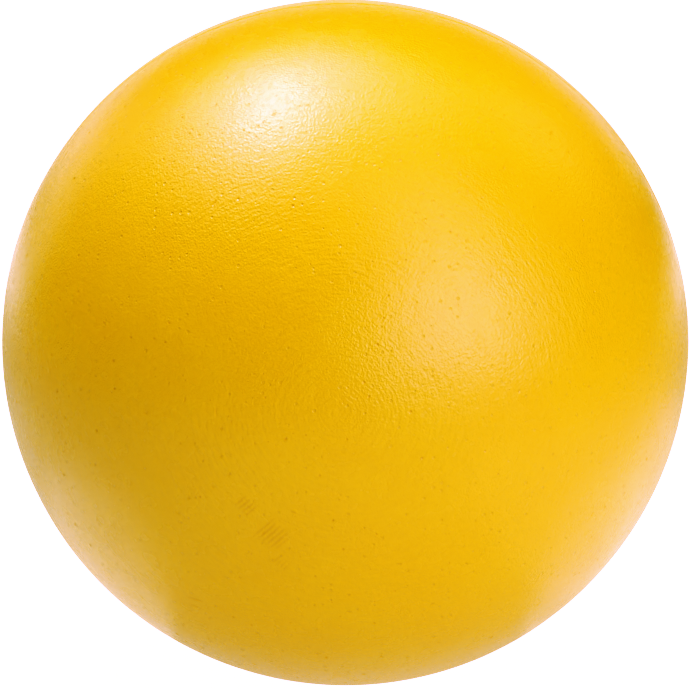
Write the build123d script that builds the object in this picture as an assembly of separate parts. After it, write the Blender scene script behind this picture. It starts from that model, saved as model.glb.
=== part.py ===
from build123d import *
from math import sqrt
import os

# A squeezable ball of moulded polyurethane foam in a lacquered skin.
# Frame: millimetres, +Z up, origin at the centre of the small flat that the ball stands on.
# The mould opened along Y, so its two halves met in the XZ plane through the ball's centre.
# The foam was poured in through a gate at the bottom, on the parting line, and the stub was
# trimmed off flat and touched up with lacquer.

# Driving dimensions
BALL_DIAMETER = 63.0
SKIN_THICKNESS = 1.0  # the lacquer and the dense rind of foam that it is bonded to
BOND_GAP = 0.02  # allowance between the skin halves and the foam and gate pieces inside them
SEAM_WIDTH = 0.5  # the bead of flash between the two skin halves
SEAM_RIDGE = 0.05  # how far the trimmed bead still stands proud of the skin
FLAT_DIAMETER = 9.0  # the flat that the trimming knife left
GATE_DIAMETER = 8.0
GATE_DEPTH = 4.0  # how far the gate stub reaches up into the foam
SEAL_THICKNESS = 0.4  # the touch-up lacquer over the end of the stub

# Worked out from the above
BALL_RADIUS = BALL_DIAMETER / 2
INNER_RADIUS = BALL_RADIUS - SKIN_THICKNESS
GATE_RADIUS = GATE_DIAMETER / 2
CENTRE_HEIGHT = sqrt(BALL_RADIUS**2 - (FLAT_DIAMETER / 2) ** 2)


def ball(radius):
    """A full ball about the centre of the stress ball."""
    return Pos(0, 0, CENTRE_HEIGHT) * Sphere(radius)


def upright_disc(radius, bottom, top):
    """A round plug on the Z axis, between two heights."""
    return Pos(0, 0, bottom) * Cylinder(radius, top - bottom, align=(Align.CENTER, Align.CENTER, Align.MIN))


def trimmed(solid):
    """What is left above the flat that the ball stands on."""
    return split(solid, bisect_by=Plane.XY, keep=Keep.TOP)


def skin_front():
    """The skin half on the -Y side: a half shell with half of the gate hole in its lower edge."""
    shell = ball(BALL_RADIUS) - ball(INNER_RADIUS)
    gate_hole = upright_disc(GATE_RADIUS + BOND_GAP, -GATE_DEPTH, GATE_DEPTH)
    edge = Plane.XZ.offset(SEAM_WIDTH / 2)
    return split(trimmed(shell - gate_hole), bisect_by=edge, keep=Keep.TOP)


def skin_rear():
    """The matching half on the +Y side."""
    return mirror(skin_front(), about=Plane.XZ)


def seam_bead():
    """The trimmed flash all round the parting line, crowned where it stands proud."""
    half_width = SEAM_WIDTH / 2
    inner_front = (INNER_RADIUS, -half_width)
    outer_front = (BALL_RADIUS, -half_width)
    crown = (BALL_RADIUS + SEAM_RIDGE, 0)
    outer_rear = (BALL_RADIUS, half_width)
    inner_rear = (INNER_RADIUS, half_width)
    outline = Curve() + [
        Line(inner_front, outer_front),
        ThreePointArc(outer_front, crown, outer_rear),
        Line(outer_rear, inner_rear),
        Line(inner_rear, inner_front),
    ]
    ring = Pos(0, 0, CENTRE_HEIGHT) * revolve(make_face(outline), axis=Axis.Y)
    return trimmed(ring - upright_disc(GATE_RADIUS, -GATE_DEPTH, GATE_DEPTH))


def foam_core():
    """The solid foam inside the skin, with the hole that the gate stub fills."""
    return ball(INNER_RADIUS - BOND_GAP) - upright_disc(GATE_RADIUS, 0, GATE_DEPTH)


def gate_plug():
    """The foam stub left in the gate, through the skin and into the foam."""
    return upright_disc(GATE_RADIUS, SEAL_THICKNESS, GATE_DEPTH)


def gate_seal():
    """The disc of touch-up lacquer over the trimmed stub, which the ball stands on."""
    return upright_disc(GATE_RADIUS, 0, SEAL_THICKNESS)


PIECES = {
    "skin_front": skin_front,
    "skin_rear": skin_rear,
    "seam_bead": seam_bead,
    "foam_core": foam_core,
    "gate_plug": gate_plug,
    "gate_seal": gate_seal,
}

os.makedirs("parts", exist_ok=True)
for name, make in PIECES.items():
    export_step(make(), f"parts/{name}.step")
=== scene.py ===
import math

import bpy
import numpy as np
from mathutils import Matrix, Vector
from mathutils.geometry import delaunay_2d_cdt


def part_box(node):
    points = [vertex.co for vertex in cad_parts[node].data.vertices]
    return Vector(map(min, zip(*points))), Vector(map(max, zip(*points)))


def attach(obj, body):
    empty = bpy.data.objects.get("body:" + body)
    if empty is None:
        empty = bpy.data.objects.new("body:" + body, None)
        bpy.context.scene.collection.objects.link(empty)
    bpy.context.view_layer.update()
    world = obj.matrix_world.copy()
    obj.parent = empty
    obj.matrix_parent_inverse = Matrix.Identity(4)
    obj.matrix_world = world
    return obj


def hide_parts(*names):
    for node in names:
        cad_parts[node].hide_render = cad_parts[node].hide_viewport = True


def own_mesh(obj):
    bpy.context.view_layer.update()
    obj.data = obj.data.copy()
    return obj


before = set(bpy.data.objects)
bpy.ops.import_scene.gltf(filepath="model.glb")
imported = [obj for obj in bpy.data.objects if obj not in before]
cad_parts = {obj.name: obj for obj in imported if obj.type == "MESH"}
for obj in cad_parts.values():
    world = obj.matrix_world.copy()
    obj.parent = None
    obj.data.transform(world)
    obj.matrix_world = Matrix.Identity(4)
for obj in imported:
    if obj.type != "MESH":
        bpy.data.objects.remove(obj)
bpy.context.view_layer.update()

# ---------------------------------------------------------------- sizes, in metres, from the CAD frame
MM = 0.001
SKIN_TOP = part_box("skin_front")[1]
RADIUS = SKIN_TOP.x
CENTRE = np.array((0.0, 0.0, SKIN_TOP.z - RADIUS))
CORE_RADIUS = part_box("foam_core")[1].x
BEAD_LOW, BEAD_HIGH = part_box("seam_bead")
HALF_BEAD = (BEAD_HIGH.y - BEAD_LOW.y) / 2
SEAL_LOW, SEAL_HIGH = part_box("gate_seal")
GATE_RADIUS = SEAL_HIGH.x
PLUG_LOW, PLUG_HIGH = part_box("gate_plug")

SKIN_THICKNESS = 1.0 * MM
BOND_GAP = 0.02 * MM
FLAT_RADIUS = math.sqrt(RADIUS**2 - CENTRE[2] ** 2)
INNER_RADIUS = RADIUS - SKIN_THICKNESS
HOLE_RADIUS = GATE_RADIUS + BOND_GAP

FRONT, REAR = -1.0, 1.0  # the sign of Y on each half of the ball

# The meshes' spacing and steps
OUTER_SPACING = 0.5 * MM  # between points on the lacquered face, away from its marks
INNER_SPACING = 2 * MM
FOAM_SPACING = 1.0 * MM
SEAM_STEPS, MOUTH_STEPS = 420, 40  # along a skin half's edge at the seam and round the flat
BEAD_STEPS = 1100
BEAD_POINTS = 9  # across the bead's crown
SOCKET_STEPS = 96
LATHE_STEPS = 144
SHARP_ABOVE, LATHE_SHARP_ABOVE = 50, 40  # degrees between faces

# The skin's slow swell: (height, waves, reach), where a larger reach gives shorter waves
SWELLS = [(0.010 * MM, 9, 16), (0.004 * MM, 12, 55)]
SWELL_SINK = 0.016 * MM  # keeps the swell inside the CAD model's ball
SWELL_FADE = 6 * MM  # how far from an edge the swell reaches its full height
MARK_FADE = 1.2 * MM
FULL_HOLLOW = 0.02 * MM  # a mark this deep gets the full painted shade, a deeper yellow in its hollow

# The bead's crown, as shares of the CAD bead's: its usual height, and its waves (size, seed, waves, reach)
BEAD_RIDGE = 0.62
BEAD_WAVES = [(0.22, 71, 8, 30), (0.10, 72, 8, 160)]
BEAD_END_FADE = 1 / 80  # the share of the bead's length where the crown falls away at each end
BEAD_END_TURN = 0.002  # radians between the inner face's last point and the gate

# Pits: (count, smallest radius, largest radius, depth as a share of the radius)
PINHOLES = (620, 0.07 * MM, 0.20 * MM, 0.45)
FOAM_CELLS = (1500, 0.30 * MM, 0.85 * MM, 0.55)
PINHOLE_MARGIN = 1.5 * MM  # from the seam and from the flat
CELL_MARGIN = 1.6 * MM  # from the socket

# ---------------------------------------------------------------- marks on the skin
# A mark's place is its angle from the half's pole and its clock angle about that pole, in degrees, 0 at
# the top and 90 on the right of someone who faces the pole. Its heading is 0 straight out from the pole.
# Gouges: (from pole, clock, heading, length, width, depth), sizes in millimetres. One of negative depth
# is a raised nib of lacquer.
FRONT_GOUGES = [
    (41, -33, 62, 0.85, 0.30, 0.050),
    (40, -38, 70, 0.50, 0.16, 0.030),
    (26, -88, 92, 0.55, 0.16, 0.035),
    (20.5, -92, 88, 0.60, 0.14, 0.040),
    (18, -97, 80, 0.45, 0.12, 0.030),
    (18.8, -156, 75, 0.60, 0.24, -0.070),
    (19.6, -157, 30, 0.35, 0.18, -0.050),
    (57, -74, 12, 0.70, 0.20, 0.045),
    (59, -76, 20, 0.50, 0.18, 0.040),
    (56, -71, -10, 0.40, 0.14, 0.030),
    (48, -146, 60, 1.60, 0.22, 0.040),
    (50, -147, 72, 1.30, 0.18, 0.030),
    (51, -151, 15, 0.70, 0.20, 0.045),
    (48, 119, 40, 0.60, 0.20, 0.040),
    (83, 54, 85, 0.70, 0.22, 0.040),
    (80, 57, 80, 0.50, 0.18, 0.035),
    (34, 25, 84, 0.50, 0.12, 0.025),
    (30, 62, 96, 0.45, 0.12, 0.025),
    (62, 20, 90, 0.60, 0.14, 0.025),
    (66, -120, 82, 0.65, 0.16, 0.030),
]
REAR_GOUGES = [
    (28, 40, 85, 0.70, 0.18, 0.035),
    (52, -20, 78, 0.90, 0.20, 0.040),
    (47, 130, 15, 0.60, 0.18, 0.040),
    (63, -110, 88, 0.80, 0.16, 0.030),
    (35, -150, 60, 0.50, 0.14, 0.030),
    (71, 75, 95, 0.55, 0.16, 0.030),
    (20, 170, 80, 0.45, 0.14, 0.030),
]
# Chatter: short parallel ridges where the cutter shook on the mould.
# (from pole, clock, heading, lines, pitch, line length, height), sizes in millimetres.
FRONT_CHATTER = [
    (24.8, -153, 16, 6, 0.45, 2.9, 0.034),
    (23.0, -137, 4, 4, 0.44, 1.8, 0.030),
    (29.5, -160, 20, 4, 0.38, 1.5, 0.014),
]
REAR_CHATTER = [(30, 95, 8, 6, 0.44, 1.8, 0.030)]


def unit(vector):
    return vector / np.linalg.norm(vector)


def directions_from_centre(points):
    """The directions from the ball's centre to an array of points."""
    offsets = points - CENTRE
    return offsets / np.linalg.norm(offsets, axis=1)[:, None]


def pole_frame(side, from_pole, clock):
    """The outward direction at a place on a half, and its tangents away from the pole and clockwise."""
    theta, phi = math.radians(from_pole), math.radians(clock)
    across = -side  # someone who faces the rear pole has -X on the right
    pole = np.array((0.0, side, 0.0))
    spoke = np.array((math.sin(phi) * across, 0.0, math.cos(phi)))
    clockwise = np.array((math.cos(phi) * across, 0.0, -math.sin(phi)))
    out = spoke * math.sin(theta) + pole * math.cos(theta)
    away = spoke * math.cos(theta) - pole * math.sin(theta)
    return out, away, clockwise


class Pit:
    """A round pinhole with a low lip."""

    def __init__(self, out, radius, depth):
        self.out, self.radius, self.depth = out, radius, depth
        self.reach = 1.8 * radius

    def points(self, ball_radius):
        side = unit(np.cross(self.out, (0.31, 0.27, 0.91)))
        other = np.cross(self.out, side)
        found = [self.out * ball_radius]
        for share, count in ((0.5, 6), (1.0, 10), (1.5, 12)):
            turn = np.arange(count) * 2 * math.pi / count + share
            ring = np.outer(np.cos(turn), side) + np.outer(np.sin(turn), other)
            found.extend(self.out * ball_radius + ring * share * self.radius)
        return np.array(found)

    def height(self, offsets):
        away = np.linalg.norm(offsets, axis=1) / self.radius
        bowl = -self.depth * np.clip(1 - away**2, 0, 1) ** 2
        lip = 0.12 * self.depth * np.exp(-(((away - 1.15) / 0.25) ** 2))
        return bowl + lip


class Gouge:
    """A short tapered scrape with a burr along one side."""

    def __init__(self, out, along, length, width, depth):
        self.out, self.along, self.across = out, along, np.cross(out, along)
        self.length, self.width, self.depth = length, width, depth
        self.reach = 0.5 * length + width

    def points(self, ball_radius):
        steps = max(3, round(self.length / (0.45 * self.width)))
        found = []
        for row, side in enumerate((-1.0, -0.6, -0.3, 0.0, 0.3, 0.6, 1.0)):
            slide = (np.arange(steps + 1) + 0.5 * (row % 2)) / steps - 0.5
            line = np.outer(slide * self.length, self.along)
            found.extend(self.out * ball_radius + line + self.across * side * self.width)
        return np.array(found)

    def height(self, offsets):
        along = (offsets @ self.along) / (0.5 * self.length)
        across = (offsets @ self.across) / (0.5 * self.width)
        taper = np.clip(1 - along**2, 0, 1)
        groove = -self.depth * taper * np.clip(1 - (across + 0.25) ** 2, 0, 1) ** 1.5
        burr = 0.35 * self.depth * taper * np.exp(-(((across - 1.0) / 0.45) ** 2))
        return groove + burr


class Chatter:
    """Parallel ridges, each a little longer or shorter than the next."""

    def __init__(self, out, along, lines, pitch, length, ridge):
        self.out, self.along, self.across = out, along, np.cross(out, along)
        self.lines, self.pitch, self.length, self.ridge = lines, pitch, length, ridge
        self.reach = 0.6 * math.hypot(lines * pitch, length)

    def points(self, ball_radius):
        steps = max(4, round(self.length / self.pitch * 2.5))
        found = []
        rows = 6 * self.lines
        for row in range(rows + 1):
            side = (row / rows - 0.5) * self.lines * self.pitch
            slide = (np.arange(steps + 1) + 0.5 * (row % 2)) / steps - 0.5
            line = np.outer(slide * 1.05 * self.length, self.along)
            found.extend(self.out * ball_radius + line + self.across * side)
        return np.array(found)

    def height(self, offsets):
        along = offsets @ self.along
        across = offsets @ self.across
        number = across / self.pitch
        nearest = np.round(number)
        uneven = 1 + 0.18 * np.sin(nearest * 2.4)
        taper = np.clip(1 - (along / (0.5 * self.length * uneven)) ** 2, 0, 1)
        edge = np.clip(1 - np.abs(number) / (0.5 * self.lines), 0, 0.25) * 4
        return self.ridge * np.cos(2 * math.pi * number) * taper * edge


def placed(kind, side, marks):
    """The listed marks of one kind, made at their places on a half. Sizes are given in millimetres."""
    made = []
    for from_pole, clock, heading, *sizes in marks:
        out, away, clockwise = pole_frame(side, from_pole, clock)
        turn = math.radians(heading)
        along = away * math.cos(turn) + clockwise * math.sin(turn)
        if kind is Chatter:
            lines, pitch, length, ridge = sizes
            made.append(Chatter(out, along, lines, pitch * MM, length * MM, ridge * MM))
        else:
            length, width, depth = sizes
            made.append(Gouge(out, along, length * MM, width * MM, depth * MM))
    return made


def scattered_pits(seed, kind, ball_radius, allowed, taken=()):
    """Pits at random places on the ball, apart from each other and from the marks already there."""
    rng = np.random.default_rng(seed)
    count, small, large, depth_share = kind
    centres = [mark.out for mark in taken]
    reaches = [mark.reach for mark in taken]
    made = []
    while len(made) < count:
        out = unit(rng.normal(size=3))
        radius = small + (large - small) * rng.random() ** 3
        if not allowed(out):
            continue
        pit = Pit(out, radius, depth_share * radius * (0.7 + 0.6 * rng.random()))
        if centres:
            gaps = np.linalg.norm(np.array(centres) - out, axis=1) * ball_radius
            if np.any(gaps < np.array(reaches) + pit.reach):
                continue
        made.append(pit)
        centres.append(out)
        reaches.append(pit.reach)
    return made


def spiral(count):
    """Evenly spread directions over the whole ball, along a golden spiral about Y."""
    step = np.arange(count) + 0.5
    y = 1 - 2 * step / count
    turn = step * math.pi * (3 - math.sqrt(5))
    ring = np.sqrt(1 - y**2)
    return np.column_stack([ring * np.cos(turn), y, ring * np.sin(turn)])


def surface_points(marks, ball_radius, spacing, allowed):
    """Directions at a spacing over the allowed part of the ball, with each mark's own finer ones."""
    count = round(4 * math.pi * ball_radius**2 / (0.87 * spacing**2))
    base = spiral(count)
    base = base[allowed(base)]
    keep = np.ones(len(base), bool)
    fine = []
    for mark in marks:
        keep &= np.linalg.norm(base - mark.out, axis=1) * ball_radius > mark.reach + 0.15 * spacing
        points = mark.points(ball_radius)
        fine.append(points / np.linalg.norm(points, axis=1)[:, None])
    found = [base[keep]]
    if fine:
        fine = np.vstack(fine)
        found.append(fine[allowed(fine)])
    return np.vstack(found)


def waviness(directions, seed, waves, reach):
    """A smooth random swell of about -1 to 1, the same for the same seed."""
    rng = np.random.default_rng(seed)
    total = np.zeros(len(directions))
    for _ in range(waves):
        wave = unit(rng.normal(size=3)) * rng.uniform(0.5, 1.0) * reach
        total += np.sin(directions @ wave + rng.uniform(0, 2 * math.pi))
    return total / math.sqrt(waves)


def relief(directions, marks, ball_radius):
    """The marks' height above the plain ball at each direction."""
    total = np.zeros(len(directions))
    for mark in marks:
        near = np.flatnonzero(directions @ mark.out > math.cos(1.2 * mark.reach / ball_radius))
        total[near] += mark.height((directions[near] - mark.out) * ball_radius)
    return total


# ---------------------------------------------------------------- meshes
def flattened(directions, pole):
    """Stereographic coordinates of the directions, with the pole at the origin."""
    across = unit(np.cross(pole, (0.0, 0.0, 1.0) if abs(pole[2]) < 0.9 else (0.0, 1.0, 0.0)))
    up = np.cross(across, pole)
    scale = 1 / (1 + directions @ pole)
    return np.column_stack([(directions @ across) * scale, (directions @ up) * scale])


def triangulated(border, inside, pole, notch=()):
    """Triangles, counter-clockwise from outside, over the border's directions and then the inside ones.

    The notch lists the border points along a hollow bend. Triangles that would bridge it are left out.
    """
    everything = np.vstack([border, inside])
    plane = [Vector(p) for p in flattened(everything, pole).tolist()]
    loop = [(i, (i + 1) % len(border)) for i in range(len(border))]
    points, _, faces, came_from, _, _ = delaunay_2d_cdt(plane, loop, [], 1, 1e-9, True)
    if len(points) != len(everything):
        raise ValueError("two surface points fell together; move the marks apart")
    source = [ids[0] for ids in came_from]
    triangles = np.array([[source[i] for i in face] for face in faces])
    a, b, c = (everything[triangles[:, k]] for k in range(3))
    inward = np.einsum("ij,ij->i", np.cross(b - a, c - a), a) < 0
    triangles[inward] = triangles[inward][:, ::-1]
    return triangles[~np.isin(triangles, notch).all(axis=1)]


def facing_out(walls, surface):
    """The walls along a surface's border, turned to run the other way along it than the surface does."""
    first = surface[np.any(surface == 0, axis=1) & np.any(surface == 1, axis=1)][0].tolist()
    surface_goes_up = first[(first.index(0) + 1) % 3] == 1
    return [wall[::-1] for wall in walls] if surface_goes_up else walls


def mesh_piece(name, points, faces, material, sharp_above=SHARP_ABOVE):
    """A mesh object that remembers its rest place, so that its material stays put when it deforms."""
    mesh = bpy.data.meshes.new(name)
    mesh.from_pydata(np.asarray(points).tolist(), [], [list(map(int, face)) for face in faces])
    mesh.validate()
    mesh.shade_smooth()
    mesh.set_sharp_from_angle(angle=math.radians(sharp_above))
    rest = mesh.attributes.new("rest", "FLOAT_VECTOR", "POINT")
    rest.data.foreach_set("vector", np.asarray(points, np.float32).ravel())
    piece = bpy.data.objects.new(name, mesh)
    bpy.context.scene.collection.objects.link(piece)
    piece.data.materials.append(material)
    return piece


def swept(name, path, material):
    """A tube of faces over path[ring][point], capped at both ends."""
    rings, section = path.shape[:2]
    faces = [tuple(range(section))[::-1]]
    for i in range(rings - 1):
        a, b = i * section, (i + 1) * section
        for j in range(section):
            k = (j + 1) % section
            faces.append((a + j, a + k, b + k, b + j))
    faces.append(tuple((rings - 1) * section + j for j in range(section)))
    return mesh_piece(name, path.reshape(-1, 3), faces, material)


def circle(radius, height, steps):
    """Points round a level circle about Z."""
    turn = np.arange(steps) * 2 * math.pi / steps
    return np.column_stack([radius * np.cos(turn), radius * np.sin(turn), np.full(steps, height)])


def lathed(name, outline, material, rough=0.0, seed=0):
    """A solid turned about Z from an outline of (radius, height) that starts and ends on the axis."""
    inner = outline[1:-1]
    body = np.vstack([circle(radius, height, LATHE_STEPS) for radius, height in inner])
    if rough:
        wobble = waviness(body / GATE_RADIUS, seed, 12, 25)
        shrink = 1 - rough * (1 + np.clip(wobble, -1, 1)) / np.hypot(body[:, 0], body[:, 1])
        body[:, :2] *= shrink[:, None]
    points = np.vstack([body, [(0, 0, outline[0][1])], [(0, 0, outline[-1][1])]])
    low, high = len(body), len(body) + 1
    last = (len(inner) - 1) * LATHE_STEPS
    faces = []
    for j in range(LATHE_STEPS):
        k = (j + 1) % LATHE_STEPS
        for i in range(0, last, LATHE_STEPS):
            faces.append((i + j, i + k, i + LATHE_STEPS + k, i + LATHE_STEPS + j))
        faces.append((low, k, j))
        faces.append((high, last + j, last + k))
    return mesh_piece(name, points, faces, material, LATHE_SHARP_ABOVE)


# ---------------------------------------------------------------- the pieces
def mouth_arc(side, radius, height):
    """A level arc round the bottom of a skin half, from its -X end at the seam to its +X end."""
    lean = math.asin(HALF_BEAD / radius)
    sweep = np.linspace(math.pi - lean, lean, MOUTH_STEPS + 1)
    level = np.full(len(sweep), height)
    return np.column_stack([radius * np.cos(sweep), side * radius * np.sin(sweep), level])


def half_border(side, ball_radius, mouth_radius, mouth_height):
    """The edge of one face of a skin half: the seam over the top, from +X to -X, then the mouth back."""
    end = math.atan2(math.sqrt(mouth_radius**2 - HALF_BEAD**2), CENTRE[2] - mouth_height)
    ring = math.sqrt(ball_radius**2 - HALF_BEAD**2)
    turn = np.linspace(end, 2 * math.pi - end, SEAM_STEPS)
    seam_y = np.full(SEAM_STEPS, side * HALF_BEAD)
    seam = np.column_stack([ring * np.sin(turn), seam_y, CENTRE[2] - ring * np.cos(turn)])
    return np.vstack([seam, mouth_arc(side, mouth_radius, mouth_height)[1:-1]])


def edge_distance(side, directions, ball_radius, mouth_radius):
    """The distance on a skin half to the seam or to the mouth, whichever is nearer."""
    to_seam = side * directions[..., 1] * ball_radius - HALF_BEAD
    to_mouth = np.hypot(directions[..., 0], directions[..., 1]) * ball_radius - mouth_radius
    return np.minimum(to_seam, np.where(directions[..., 2] < 0, to_mouth, ball_radius))


def skin_face(side, marks, ball_radius, mouth_radius, mouth_height, spacing, margin):
    """One face of a skin half: its border points, the directions inside them, and its triangles."""
    border = half_border(side, ball_radius, mouth_radius, mouth_height)

    def allowed(directions):
        return edge_distance(side, directions, ball_radius, mouth_radius) > margin

    inside = surface_points(marks, ball_radius, spacing, allowed)
    pole = np.array((0.0, side, 0.0))
    mouth = [SEAM_STEPS - 1, *range(SEAM_STEPS, len(border)), 0]
    return border, inside, triangulated(directions_from_centre(border), inside, pole, mouth)


def skin_half(name, side, marks, seed, material):
    """Half of the lacquered skin: a marked outer face, a plain inner face and the walls between them."""
    hole_height = CENTRE[2] - math.sqrt(INNER_RADIUS**2 - HOLE_RADIUS**2)
    outer_border, outer, outer_faces = skin_face(
        side, marks, RADIUS, FLAT_RADIUS, 0.0, OUTER_SPACING, 0.5 * OUTER_SPACING
    )
    inner_border, inner, inner_faces = skin_face(
        side, [], INNER_RADIUS, HOLE_RADIUS, hole_height, INNER_SPACING, 0.35 * INNER_SPACING
    )

    edge = edge_distance(side, outer, RADIUS, FLAT_RADIUS)
    swell = -SWELL_SINK
    for turn, (size, waves, reach) in enumerate(SWELLS):
        swell = swell + size * waviness(outer, seed + turn, waves, reach)
    fade = np.clip(edge / SWELL_FADE, 0, 1)
    marked = relief(outer, marks, RADIUS) * np.clip(edge / MARK_FADE, 0, 1)
    height = swell * fade**2 * (3 - 2 * fade) + marked
    outer_points = CENTRE + outer * (RADIUS + height)[:, None]
    inner_points = CENTRE + inner * INNER_RADIUS
    rim = mouth_arc(side, HOLE_RADIUS, 0.0)  # where the flat meets the gate hole

    points = np.vstack([outer_border, outer_points, inner_border, inner_points, rim])
    at_inner = len(outer_border) + len(outer_points)
    at_rim = at_inner + len(inner_border) + len(inner_points)
    mouth = [SEAM_STEPS - 1, *range(SEAM_STEPS, len(outer_border)), 0]
    walls = []
    for i in range(SEAM_STEPS - 1):
        walls.append((i, i + 1, at_inner + i + 1, at_inner + i))
    for i in range(MOUTH_STEPS):
        walls.append((mouth[i], mouth[i + 1], at_rim + i + 1, at_rim + i))
        walls.append((at_rim + i, at_rim + i + 1, at_inner + mouth[i + 1], at_inner + mouth[i]))
    walls.append((mouth[0], at_rim, at_inner + mouth[0]))
    walls.append((mouth[-1], at_inner + mouth[-1], at_rim + MOUTH_STEPS))
    faces = [*outer_faces, *(inner_faces[:, ::-1] + at_inner), *facing_out(walls, outer_faces)]
    piece = mesh_piece(name, points, faces, material)

    hollow = np.zeros(len(points), np.float32)
    # how deep each point's mark sinks, which the lacquer turns into painted shade
    hollow[len(outer_border) : at_inner] = np.clip(-marked / FULL_HOLLOW, 0, 1)
    piece.data.attributes.new("hollow", "FLOAT", "POINT").data.foreach_set("value", hollow)
    return piece


def upright_arc(start, steps):
    """Directions in the XZ plane, from an angle off straight down on the +X side, over the top to -X."""
    turn = np.linspace(start, 2 * math.pi - start, steps)
    return np.column_stack([np.sin(turn), np.zeros(steps), -np.cos(turn)])


def seam_bead(name, material):
    """The trimmed flash: a thin ring all round, with a crown that the trimming knife left uneven."""
    outward = upright_arc(math.atan2(math.sqrt(FLAT_RADIUS**2 - HALF_BEAD**2), CENTRE[2]), BEAD_STEPS)
    inward = upright_arc(math.asin(GATE_RADIUS / INNER_RADIUS) + BEAD_END_TURN, BEAD_STEPS)
    uneven = BEAD_RIDGE
    for size, seed, waves, reach in BEAD_WAVES:
        uneven = uneven + size * waviness(outward, seed, waves, reach)
    share = np.linspace(0, 1, BEAD_STEPS)
    near_ends = np.clip(np.minimum(share, 1 - share) / BEAD_END_FADE, 0, 1)
    ridge = (BEAD_HIGH.x - RADIUS) * np.clip(uneven, 0.15, 1.0) * near_ends

    shoulder = math.sqrt(RADIUS**2 - HALF_BEAD**2)
    inner_height = CENTRE[2] - math.sqrt(INNER_RADIUS**2 - GATE_RADIUS**2)
    outer_y = np.linspace(-HALF_BEAD, HALF_BEAD, BEAD_POINTS)
    inner_y = (HALF_BEAD, -HALF_BEAD)

    def end_ring(x):
        return [(x, y, 0.0) for y in outer_y] + [(x, y, inner_height) for y in inner_y]

    path = [end_ring(GATE_RADIUS)]
    for i in range(BEAD_STEPS):
        ring = []
        for y in outer_y:
            level = shoulder + ridge[i] * (1 - (y / HALF_BEAD) ** 2)
            ring.append(CENTRE + outward[i] * level + np.array((0.0, y, 0.0)))
        for y in inner_y:
            ring.append(CENTRE + inward[i] * INNER_RADIUS + np.array((0.0, y, 0.0)))
        path.append(ring)
    path.append(end_ring(-GATE_RADIUS))
    return swept(name, np.array(path), material)


def foam_core(name, material):
    """The foam ball, open with cut cells all over, and the socket that the gate stub fills."""

    def clear_of_socket(margin):
        def allowed(directions):
            from_axis = np.hypot(directions[..., 0], directions[..., 1]) * CORE_RADIUS
            return (from_axis > GATE_RADIUS + margin) | (directions[..., 2] > 0)

        return allowed

    cells = scattered_pits(31, FOAM_CELLS, CORE_RADIUS, clear_of_socket(CELL_MARGIN))
    inside = surface_points(cells, CORE_RADIUS, FOAM_SPACING, clear_of_socket(0.5 * FOAM_SPACING))
    mouth = circle(GATE_RADIUS, CENTRE[2] - math.sqrt(CORE_RADIUS**2 - GATE_RADIUS**2), SOCKET_STEPS)
    up = np.array((0.0, 0.0, 1.0))
    surface = triangulated(directions_from_centre(mouth), inside, up)
    dip = np.minimum(relief(inside, cells, CORE_RADIUS), 0.0)
    grain = 0.03 * MM * (waviness(inside, 33, 14, 120) - 1.6)
    inside_points = CENTRE + inside * (CORE_RADIUS + np.minimum(dip + grain, 0.0))[:, None]

    points = np.vstack([mouth, inside_points, circle(GATE_RADIUS, PLUG_HIGH.z, SOCKET_STEPS)])
    top = len(mouth) + len(inside_points)
    socket = [tuple(range(top, top + SOCKET_STEPS))]
    for i in range(SOCKET_STEPS):
        j = (i + 1) % SOCKET_STEPS
        socket.append((i, j, top + j, top + i))
    return mesh_piece(name, points, [*surface, *facing_out(socket, surface)], material)


def gate_plug(name, material):
    """The foam stub in the pour gate, with a side as coarse as cut foam."""
    low, high, edge, steps = PLUG_LOW.z, PLUG_HIGH.z, 0.06 * MM, 24
    outline = [(0, low), (0.5 * GATE_RADIUS, low), (GATE_RADIUS - edge, low)]
    outline += [(GATE_RADIUS, low + edge + (high - low - 2 * edge) * i / steps) for i in range(steps + 1)]
    outline += [(GATE_RADIUS - edge, high), (0.5 * GATE_RADIUS, high), (0, high)]
    return lathed(name, outline, material, rough=0.012 * MM, seed=41)


def gate_seal(name, material):
    """The touch-up lacquer: a brushed disc with a softly rounded rim, flat where the ball stands on it."""
    low, high = SEAL_LOW.z, SEAL_HIGH.z
    rounding, flat_steps, rim_steps = 0.12 * MM, 12, 6
    outline = [((GATE_RADIUS - rounding) * i / flat_steps, low) for i in range(flat_steps + 1)]
    for i in range(1, rim_steps + 1):
        lean = i / rim_steps * math.pi / 2
        radius = GATE_RADIUS - rounding * (1 - math.sin(lean))
        outline.append((radius, low + rounding * (1 - math.cos(lean))))
    outline += [(GATE_RADIUS, high), (0.5 * GATE_RADIUS, high), (0, high)]
    return lathed(name, outline, material)


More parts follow.
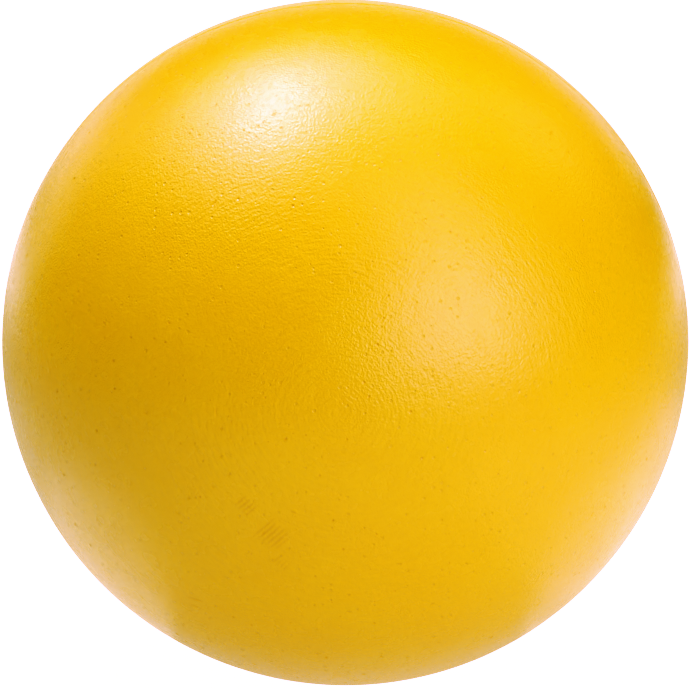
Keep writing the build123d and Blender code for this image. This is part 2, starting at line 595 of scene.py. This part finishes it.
# ---------------------------------------------------------------- materials
class Nodes:
    """A material's node tree, with a short way to add and join nodes."""

    def __init__(self, name):
        self.material = bpy.data.materials.new(name)
        self.material.use_nodes = True
        self.tree = self.material.node_tree
        self.tree.nodes.clear()

    def add(self, kind, inputs=None, **settings):
        node = self.tree.nodes.new("ShaderNode" + kind)
        for key, value in settings.items():
            setattr(node, key, value)
        for key, value in (inputs or {}).items():
            if isinstance(value, bpy.types.NodeSocket):
                self.tree.links.new(value, node.inputs[key])
            else:
                node.inputs[key].default_value = value
        return node

    def maths(self, operation, *values):
        node = self.add("Math", dict(enumerate(values)), operation=operation)
        return node.outputs[0]

    def times(self, a, b):
        return self.maths("MULTIPLY", a, b)

    def plus(self, a, b):
        return self.maths("ADD", a, b)

    def vector(self, operation, *values, output=0):
        node = self.add("VectorMath", dict(enumerate(values)), operation=operation)
        return node.outputs[output]

    def attribute(self, name, output):
        return self.add("Attribute", attribute_name=name).outputs[output]

    def ramp(self, value, low, high, to_low=0.0, to_high=1.0):
        """A smooth step from to_low at low to to_high at high."""
        inputs = {"Value": value, "From Min": low, "From Max": high, "To Min": to_low, "To Max": to_high}
        return self.add("MapRange", inputs, interpolation_type="SMOOTHSTEP").outputs["Result"]

    def noise(self, place, size, detail=2.0):
        """Noise of about 0 to 1 whose lumps are size metres across."""
        inputs = {"Vector": place, "Scale": 1 / size, "Detail": detail, "Roughness": 0.5}
        return self.add("TexNoise", inputs).outputs["Fac"]

    def streaks(self, place, arc_length, length, pitch):
        """Noise of about 0 to 1 in streaks of a length along the mould's rings and a pitch across them."""
        across = self.times(arc_length, length / pitch)
        inputs = {"Vector": place, "W": across, "Scale": 1 / length, "Detail": 0.0}
        return self.add("TexNoise", inputs, noise_dimensions="4D").outputs["Fac"]

    def mix(self, share, a, b):
        node = self.add("Mix", {0: share}, data_type="RGBA")
        for slot, colour in ((6, a), (7, b)):
            if isinstance(colour, bpy.types.NodeSocket):
                self.tree.links.new(colour, node.inputs[slot])
            else:
                node.inputs[slot].default_value = colour
        return node.outputs[2]

    def bump(self, height):
        return self.add("Bump", {"Height": height, "Distance": 1.0, "Strength": 1.0}).outputs[0]

    def finish(self, shader):
        self.add("OutputMaterial", {"Surface": shader.outputs[0]})
        return self.material


YELLOW = (0.95, 0.45, 0.002, 1.0)
# painted shade: the darker yellow that grooves, pores and sunk marks are mixed towards
YELLOW_PAINTED_SHADE = (0.84, 0.36, 0.001, 1.0)
YELLOW_PALE = (0.96, 0.47, 0.003, 1.0)
# painted shade in the foam's open cells; the walls keep the foam's own colour
FOAM_CELL_SHADE = (0.66, 0.46, 0.14, 1.0)
FOAM_WALL = (0.86, 0.72, 0.36, 1.0)
WHITE = (1.0, 1.0, 1.0, 1.0)

# The lacquer's relief
FINE_STREAK, FINE_PITCH, FINE_HEIGHT = 1.2 * MM, 0.28 * MM, 0.050 * MM
COARSE_STREAK, COARSE_PITCH, COARSE_HEIGHT = 4.0 * MM, 0.70 * MM, 0.010 * MM
PEEL_SIZE, PEEL_HEIGHT = 0.50 * MM, 0.028 * MM
GRAIN_SIZE, GRAIN_HEIGHT = 0.20 * MM, 0.042 * MM
PORE_CELL, PORE_SIZE, PORE_DEPTH = 0.75 * MM, 0.26, 0.035 * MM  # the size is a share of the cell
STROKE_WIDTH = 0.35 * MM
# How far each goes to the deeper yellow, a painted shade: in the turning marks' grooves, in the pores and
# in the sunk marks
GROOVE_SHADE_SHARE, PORE_SHADE_SHARE, HOLLOW_SHADE_SHARE = 0.14, 0.45, 0.9


def lacquer(name, turned=1.0, roughness=0.26, brushed=0.0):
    """Satin lacquer over foam: turning marks copied from the mould, fine pores and orange peel, with
    painted shade darkening the grooves, pores and sunk marks.
    """
    n = Nodes(name)
    place = n.attribute("rest", "Vector")
    direction = n.vector("NORMALIZE", n.vector("SUBTRACT", place, tuple(CENTRE)))
    towards_pole = n.maths("ABSOLUTE", n.vector("DOT_PRODUCT", direction, (0.0, 1.0, 0.0), output=1))
    arc_length = n.times(n.maths("ARCCOSINE", towards_pole), RADIUS)

    # turning marks: streaks round the mould axis, stronger in some places than in others
    fine = n.streaks(place, arc_length, FINE_STREAK, FINE_PITCH)
    coarse = n.streaks(place, arc_length, COARSE_STREAK, COARSE_PITCH)
    near_pole = n.ramp(arc_length, 0.95 * RADIUS, 0.55 * RADIUS, 0.35, 1.0)
    patches = n.times(n.ramp(n.noise(place, 9 * MM, 1.0), 0.35, 0.65, 0.3, 1.0), near_pole)
    rings = n.plus(n.times(fine, FINE_HEIGHT), n.times(coarse, COARSE_HEIGHT))
    ring_height = n.times(n.times(rings, patches), turned)

    # orange peel of the sprayed coat, and its grain
    peel = n.times(n.noise(place, PEEL_SIZE, 1.0), PEEL_HEIGHT)
    grain = n.times(n.noise(place, GRAIN_SIZE, 1.0), GRAIN_HEIGHT)

    # pores: burst bubbles in the rind, about one in each square millimetre
    cells = n.add("TexVoronoi", {"Vector": place, "Scale": 1 / PORE_CELL}, feature="F1")
    chance = n.add("SeparateColor", {"Color": cells.outputs["Color"]}).outputs[0]
    size = n.ramp(chance, 0.40, 1.0, 0.0, PORE_SIZE)
    depth = n.maths("SUBTRACT", 1.0, n.maths("DIVIDE", cells.outputs["Distance"], n.plus(size, 0.001)))
    pore = n.ramp(depth, 0.0, 0.5)

    height = n.plus(n.plus(ring_height, peel), n.plus(grain, n.times(pore, -PORE_DEPTH)))
    if brushed:
        strokes = n.add("Mapping", {"Vector": place, "Scale": (0.15, 1.0, 1.0)}).outputs[0]
        height = n.plus(height, n.times(n.noise(strokes, STROKE_WIDTH), brushed))

    colour = n.mix(n.ramp(n.noise(place, 7 * MM, 3.0), 0.3, 0.7), YELLOW, YELLOW_PALE)
    # painted shade: a darker yellow in the turning marks' grooves, where the streaks are low
    groove_shade = n.times(n.ramp(fine, 0.62, 0.38), n.times(patches, GROOVE_SHADE_SHARE * turned))
    colour = n.mix(groove_shade, colour, YELLOW_PAINTED_SHADE)
    # painted shade: a darker yellow in the pores
    colour = n.mix(n.times(pore, PORE_SHADE_SHARE), colour, YELLOW_PAINTED_SHADE)
    # painted shade: a darker yellow in gouges, pits and chatter, by how deep they sink
    colour = n.mix(n.times(n.attribute("hollow", "Fac"), HOLLOW_SHADE_SHARE), colour, YELLOW_PAINTED_SHADE)
    patchy = n.ramp(n.noise(place, 2.2 * MM), 0.3, 0.7, roughness - 0.03, roughness + 0.03)
    rough = n.plus(patchy, n.times(pore, 0.15))
    inputs = {"Base Color": colour, "Roughness": rough, "Specular IOR Level": 0.9, "Normal": n.bump(height)}
    return n.finish(n.add("BsdfPrincipled", inputs))


def foam(name):
    """Cut polyurethane foam: pale walls round small open cells, whose darker colour is painted shade."""
    n = Nodes(name)
    place = n.attribute("rest", "Vector")
    cells = n.add("TexVoronoi", {"Vector": place, "Scale": 1 / (0.55 * MM)}, feature="DISTANCE_TO_EDGE")
    wall = n.ramp(cells.outputs["Distance"], 0.02, 0.22, 1.0, 0.0)
    grain = n.noise(place, 0.12 * MM, 3.0)
    height = n.plus(n.times(wall, 0.10 * MM), n.times(grain, 0.01 * MM))
    # painted shade: the open cells are coloured darker than their walls
    inputs = {
        "Base Color": n.mix(wall, FOAM_CELL_SHADE, FOAM_WALL),
        "Roughness": 0.9,
        "Normal": n.bump(height),
        "Subsurface Weight": 0.15,
        "Subsurface Radius": (0.8, 0.6, 0.3),
        "Subsurface Scale": 0.6 * MM,
    }
    return n.finish(n.add("BsdfPrincipled", inputs))


FLOOR_GLOW = 2.5  # enough to burn out to white


def pale_floor(name):
    """A plain white table top, burnt out to white for the eye as a bright studio leaves it."""
    n = Nodes(name)
    place = n.add("TexCoord").outputs["Object"]
    mottle = n.ramp(n.noise(place, 0.05), 0.3, 0.7, 0.19, 0.21)
    colour = n.add("CombineColor", {0: mottle, 1: mottle, 2: mottle}).outputs[0]
    table = n.add("BsdfPrincipled", {"Base Color": colour, "Roughness": 0.9, "Specular IOR Level": 0.0})
    seen = n.add("LightPath").outputs["Is Camera Ray"]
    glow = n.add("Emission", {"Color": WHITE, "Strength": n.times(seen, FLOOR_GLOW)})
    return n.finish(n.add("AddShader", {0: table.outputs[0], 1: glow.outputs[0]}))


# ---------------------------------------------------------------- studio
CAMERA_AZIMUTH, CAMERA_ELEVATION = 0.85, 11.3
CAMERA_DISTANCE = 0.75
CAMERA_SHIFT = (-0.001, -0.003)
SENSOR_WIDTH = 36
BALL_SHARE = 0.9965  # how much of the picture's width the ball fills
FLOOR_REACH, FLOOR_STEPS = 6.0, 96
FLOOR_GAP = 0.01 * MM  # below the ball, so that the two faces don't fight
POOL_HEIGHT, POOL_STEP = 0.3 * MM, 0.1 * MM
WORLD_SEEN, WORLD_FELT = 3.0, 0.02  # the surroundings' strength for the eye and for the ball


def compass(azimuth, elevation):
    """The direction from the ball to something, 0 at the front, 90 at +X and 180 behind."""
    a, e = math.radians(azimuth), math.radians(elevation)
    return Vector((math.sin(a) * math.cos(e), -math.cos(a) * math.cos(e), math.sin(e)))


def camera():
    data = bpy.data.cameras.new("camera")
    placed_camera = bpy.data.objects.new("camera", data)
    bpy.context.scene.collection.objects.link(placed_camera)
    back = compass(CAMERA_AZIMUTH, CAMERA_ELEVATION)
    placed_camera.location = Vector(CENTRE) + back * CAMERA_DISTANCE
    placed_camera.rotation_mode = "QUATERNION"
    placed_camera.rotation_quaternion = back.to_track_quat("Z", "Y")
    half_view = math.tan(math.asin(RADIUS / CAMERA_DISTANCE)) / BALL_SHARE
    data.sensor_width = SENSOR_WIDTH
    data.lens = SENSOR_WIDTH / 2 / half_view
    data.shift_x, data.shift_y = CAMERA_SHIFT
    bpy.context.scene.camera = placed_camera


def area_light(name, width, height, radiance):
    """An oval light that the camera doesn't see, as bright as a white surface of that radiance."""
    data = bpy.data.lights.new(name, "AREA")
    data.shape = "ELLIPSE"
    data.size, data.size_y = width, height
    data.energy = radiance * math.pi * (math.pi / 4 * width * height)
    light = bpy.data.objects.new(name, data)
    bpy.context.scene.collection.objects.link(light)
    light.visible_camera = False
    return light


def soft_light(name, azimuth, elevation, distance, width, height, radiance):
    """A softbox that faces the ball."""
    light = area_light(name, width, height, radiance)
    towards = compass(azimuth, elevation)
    light.location = Vector(CENTRE) + towards * distance
    light.rotation_mode = "QUATERNION"
    light.rotation_quaternion = towards.to_track_quat("Z", "Y")


def bounce_pool(layer, name, x, y, width, depth, radiance):
    """A pool of light on the table, which lights the ball from below.

    Pools in one plane would hide each other, so each layer is a little higher.
    """
    light = area_light(name, width, depth, radiance)
    light.location = (x, y, POOL_HEIGHT + layer * POOL_STEP)
    light.rotation_euler = (math.pi, 0, 0)


# (name, azimuth, elevation, distance, width, height, radiance)
SOFT_LIGHTS = [
    ("key", -117, 70, 0.65, 0.30, 0.18, 14.5),
    ("key_spill", -110, 68, 0.65, 0.90, 0.60, 1.9),
    ("fill", 34, 10, 0.80, 0.60, 0.72, 1.9),
    ("fill_spill", 34, 11, 0.80, 1.00, 1.00, 0.9),
    ("fill_right", 62, 15, 0.80, 0.70, 0.70, 1.0),
    ("front_high", 20, 50, 0.80, 0.60, 0.50, 0.5),
    ("front_right_high", 50, 50, 0.80, 0.60, 0.50, 1.35),
    ("front_top", -30, 72, 0.80, 0.50, 0.50, 0.7),
    ("overhead", 150, 75, 0.70, 0.50, 0.50, 1.5),
    ("behind", 180, 8, 0.90, 1.00, 0.30, 1.0),
    ("behind_left", -140, 12, 0.80, 0.40, 0.40, 0.8),
    ("behind_left_high", -125, 40, 0.80, 0.40, 0.40, 0.6),
    ("behind_right_high", 125, 40, 0.80, 0.40, 0.40, 0.9),
]
# (name, x, y, width, depth, radiance)
BOUNCE_POOLS = [
    ("pool_far", 0.0, 0.42, 0.80, 0.40, 1.2),
    ("pool_wide", 0.0, 0.0, 1.40, 1.40, 0.25),
    ("pool_round", 0.0, 0.0, 0.24, 0.24, 0.24),
    ("pool_under", 0.0, 0.004, 0.04, 0.04, 0.1),
    ("pool_left", -0.042, 0.004, 0.05, 0.05, 0.45),
    ("pool_right", 0.042, 0.008, 0.05, 0.05, 0.35),
    ("pool_far_right", 0.075, 0.0, 0.10, 0.16, 0.2),
    ("pool_back_right", 0.052, 0.045, 0.07, 0.07, 0.2),
]

# The camera's response, one curve for each colour: a toe that keeps the yellow pure, and shoulders that
# turn its highlights to warm white. (scene light, picture)
RESPONSE_WHITE = 2.5
TOE = [(0, 0), (0.03, 0.005), (0.1, 0.06), (0.2, 0.19)]
RED_RESPONSE = [*TOE, (0.8, 0.8), (0.9, 0.87), (1.0, 0.94), (1.1, 0.965), (1.5, 0.975), (RESPONSE_WHITE, 1)]
GREEN_RESPONSE = [*TOE, (0.49, 0.505), (0.58, 0.565), (0.7, 0.65), (0.96, 0.765), (1.16, 0.855)]
GREEN_RESPONSE += [(1.36, 0.928), (1.7, 0.97), (RESPONSE_WHITE, 1)]
BLUE_RESPONSE = [(0, 0), (0.05, 0.002), (0.08, 0.009), (0.12, 0.03), (0.2, 0.12), (0.35, 0.3), (0.75, 0.74)]
BLUE_RESPONSE += [(0.9, 0.87), (1.1, 0.95), (1.6, 0.985), (RESPONSE_WHITE, 1)]


def camera_response():
    settings = bpy.context.scene.view_settings
    settings.view_transform = "Standard"
    settings.use_curve_mapping = True
    mapping = settings.curve_mapping
    mapping.white_level = (RESPONSE_WHITE,) * 3
    for curve, response in zip(mapping.curves, (RED_RESPONSE, GREEN_RESPONSE, BLUE_RESPONSE)):
        curve.points[0].location = response[0]
        curve.points[-1].location = (1, response[-1][1])
        for light, picture in response[1:-1]:
            curve.points.new(light / RESPONSE_WHITE, picture)
        for point in curve.points:
            point.handle_type = "AUTO_CLAMPED"
    mapping.update()


def pale_surroundings():
    """White for the eye, and nearly dark for the ball, which is lit by the lights alone."""
    world = bpy.data.worlds.new("surroundings")
    world.use_nodes = True
    tree = world.node_tree
    tree.nodes.clear()
    path = tree.nodes.new("ShaderNodeLightPath")
    mix = tree.nodes.new("ShaderNodeMixShader")
    out = tree.nodes.new("ShaderNodeOutputWorld")
    tree.links.new(path.outputs["Is Camera Ray"], mix.inputs[0])
    for slot, strength in ((1, WORLD_FELT), (2, WORLD_SEEN)):
        background = tree.nodes.new("ShaderNodeBackground")
        background.inputs["Color"].default_value = WHITE
        background.inputs["Strength"].default_value = strength
        tree.links.new(background.outputs[0], mix.inputs[slot])
    tree.links.new(mix.outputs[0], out.inputs[0])
    bpy.context.scene.world = world


def floor():
    points = circle(FLOOR_REACH, -FLOOR_GAP, FLOOR_STEPS)
    table = mesh_piece("table_top", points, [tuple(range(len(points)))], pale_floor("table_white"))


# ---------------------------------------------------------------- assembly
def half_marks(side, gouges, chatter, seed):
    """All the marks of one half: those listed, and pinholes scattered between them."""
    marks = placed(Gouge, side, gouges) + placed(Chatter, side, chatter)

    def allowed(direction):
        off_seam = side * direction[1] * RADIUS > PINHOLE_MARGIN
        return off_seam and direction[2] * RADIUS > PINHOLE_MARGIN - CENTRE[2]

    return marks + scattered_pits(seed, PINHOLES, RADIUS, allowed, marks)


def join_frame(piece, body, node):
    """Makes a soft piece stand for its CAD node: it rides on the body, the CAD part is hidden and the piece
    gets a mesh of its own.
    """
    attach(piece, body)
    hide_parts(node)
    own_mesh(piece)


skin_lacquer = lacquer("skin_lacquer")
seam_lacquer = lacquer("seam_lacquer", turned=0.0, roughness=0.34)
disc_lacquer = lacquer("disc_lacquer", turned=0.0, roughness=0.20, brushed=0.008 * MM)
foam_material = foam("foam")

front_marks = half_marks(FRONT, FRONT_GOUGES, FRONT_CHATTER, 11)
rear_marks = half_marks(REAR, REAR_GOUGES, REAR_CHATTER, 12)
front = skin_half("lacquered_skin_front", FRONT, front_marks, 21, skin_lacquer)
rear = skin_half("lacquered_skin_rear", REAR, rear_marks, 23, skin_lacquer)
bead = seam_bead("seam_flash_bead", seam_lacquer)
core = foam_core("foam_filling", foam_material)
plug = gate_plug("foam_gate_stub", foam_material)
seal = gate_seal("touch_up_disc", disc_lacquer)

join_frame(front, "front_half", "skin_front")
join_frame(rear, "rear_half", "skin_rear")
join_frame(bead, "core", "seam_bead")
join_frame(core, "core", "foam_core")
join_frame(plug, "core", "gate_plug")
join_frame(seal, "core", "gate_seal")

floor()
pale_surroundings()
for settings in SOFT_LIGHTS:
    soft_light(*settings)
for layer, settings in enumerate(BOUNCE_POOLS):
    bounce_pool(layer, *settings)
camera()
camera_response()
